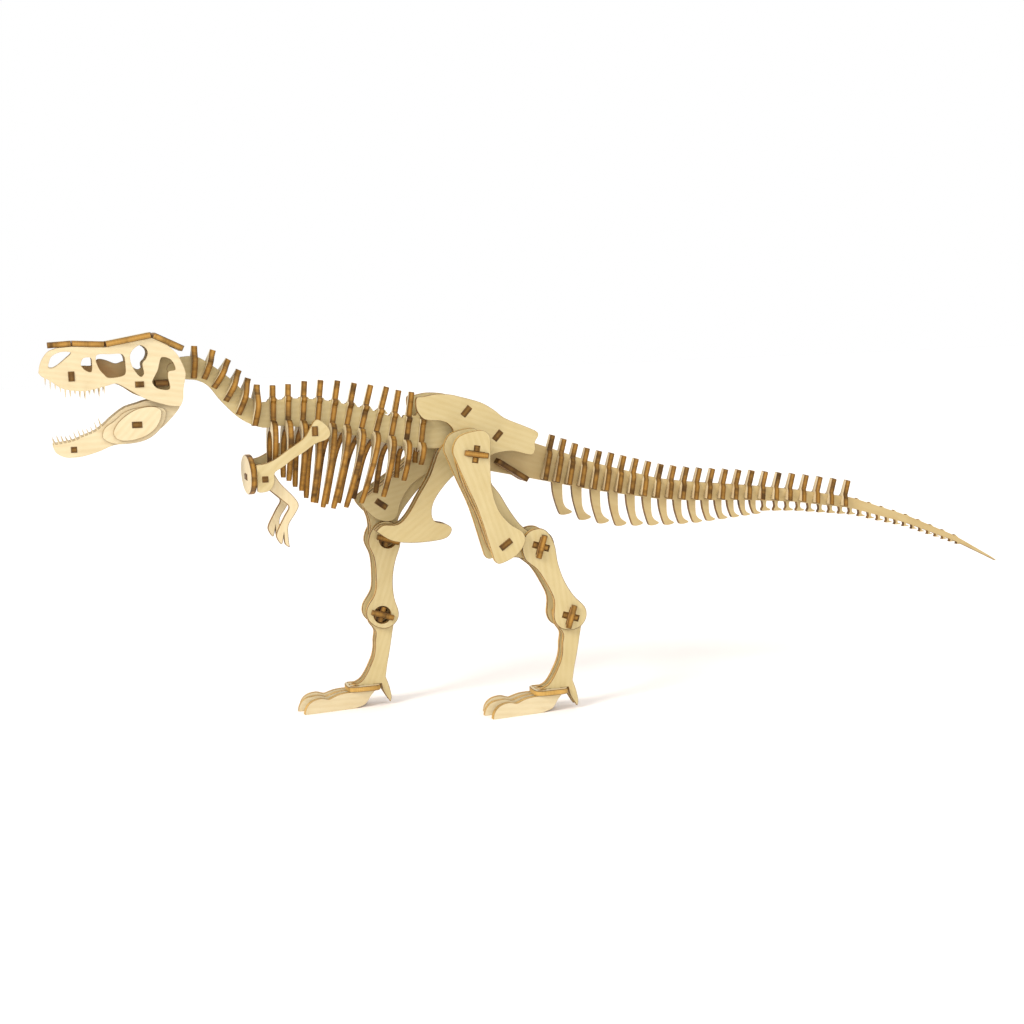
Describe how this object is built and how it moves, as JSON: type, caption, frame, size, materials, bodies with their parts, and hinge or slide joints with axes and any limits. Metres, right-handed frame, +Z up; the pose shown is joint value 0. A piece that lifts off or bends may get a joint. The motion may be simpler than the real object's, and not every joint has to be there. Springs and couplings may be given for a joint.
{
  "type": "wooden jigsaw model",
  "caption": "Slot-together plywood dinosaur skeleton standing on two legs, with hips, knees and ankles that turn on cross-shaped axles.",
  "frame": {"origin": "on the ground, below the middle of the overall box", "axes": "+X towards the tail, -X towards the head, -Y the model's right side, +Z up"},
  "size_m": [0.5497, 0.0802, 0.2135],
  "materials": {
    "ply_pale": "bare sanded plywood, pale cream, with laser-browned edges",
    "ply_frame": "bare sanded plywood, yellower, with laser-browned edges",
    "ply_ties": "bare plywood seen mostly on its browned cut edges"
  },
  "bodies": {
    "body": {"skull_right": "ply_pale", "skull_left": "ply_pale", "skull_core": "ply_frame", "roof_snout": "ply_pale", "roof_nasal": "ply_pale", "roof_brow": "ply_pale", "roof_crown": "ply_pale", "skull_ties": "ply_ties", "jaw_right": "ply_pale", "jaw_left": "ply_pale", "jaw_cheeks": "ply_pale", "jaw_ties": "ply_ties", "spine": "ply_frame", "neck_vertebrae": "ply_pale", "rib_1": "ply_pale", "rib_2": "ply_pale", "rib_3": "ply_pale", "rib_4": "ply_pale", "rib_5": "ply_pale", "rib_6": "ply_pale", "rib_7": "ply_pale", "rib_8": "ply_pale", "rib_9": "ply_pale", "rib_10": "ply_pale", "rib_11": "ply_pale", "scapula_right": "ply_frame", "scapula_left": "ply_frame", "arm_right": "ply_pale", "arm_left": "ply_pale", "chest_plate": "ply_pale", "shoulder_ties": "ply_ties", "ilium_right": "ply_frame", "ilium_left": "ply_frame", "pelvis_ties": "ply_ties", "pubis_right": "ply_frame", "pubis_left": "ply_frame", "tail": "ply_frame", "tail_vertebrae_front": "ply_pale", "tail_vertebrae_rear": "ply_pale"},
    "thigh_right": {"thigh_outer_right": "ply_frame", "thigh_inner_right": "ply_frame", "femur_links_right": "ply_frame", "hip_axle_right": "ply_ties"},
    "shin_right": {"shin_plates_right": "ply_frame", "knee_axle_right": "ply_ties", "ankle_axle_right": "ply_ties"},
    "foot_right": {"metatarsals_right": "ply_frame", "foot_spreader_right": "ply_pale", "toes_right": "ply_pale"},
    "thigh_left": {"thigh_outer_left": "ply_frame", "thigh_inner_left": "ply_frame", "femur_links_left": "ply_frame", "hip_axle_left": "ply_ties"},
    "shin_left": {"shin_plates_left": "ply_frame", "knee_axle_left": "ply_ties", "ankle_axle_left": "ply_ties"},
    "foot_left": {"metatarsals_left": "ply_frame", "foot_spreader_left": "ply_pale", "toes_left": "ply_pale"}
  },
  "joints": [
    {"name": "hip_right", "type": "hinge", "parent": "body", "child": "thigh_right", "pos_m": [-0.0555, -0.026, 0.1435], "axis": [0, 1, 0], "range_deg": [-16, 72]},
    {"name": "knee_right", "type": "hinge", "parent": "thigh_right", "child": "shin_right", "pos_m": [-0.0205, -0.026, 0.0915], "axis": [0, 1, 0], "range_deg": [-60, 4]},
    {"name": "ankle_right", "type": "hinge", "parent": "shin_right", "child": "foot_right", "pos_m": [-0.005, -0.026, 0.052], "axis": [0, 1, 0], "range_deg": [-45, 15]},
    {"name": "hip_left", "type": "hinge", "parent": "body", "child": "thigh_left", "pos_m": [-0.0555, 0.026, 0.1435], "axis": [0, 1, 0], "range_deg": [-88, 0]},
    {"name": "knee_left", "type": "hinge", "parent": "thigh_left", "child": "shin_left", "pos_m": [-0.09414, 0.026, 0.09414], "axis": [0, 1, 0], "range_deg": [-16, 48]},
    {"name": "ankle_left", "type": "hinge", "parent": "shin_left", "child": "foot_left", "pos_m": [-0.09908, 0.026, 0.052], "axis": [0, 1, 0], "range_deg": [-17, 43]}
  ]
}
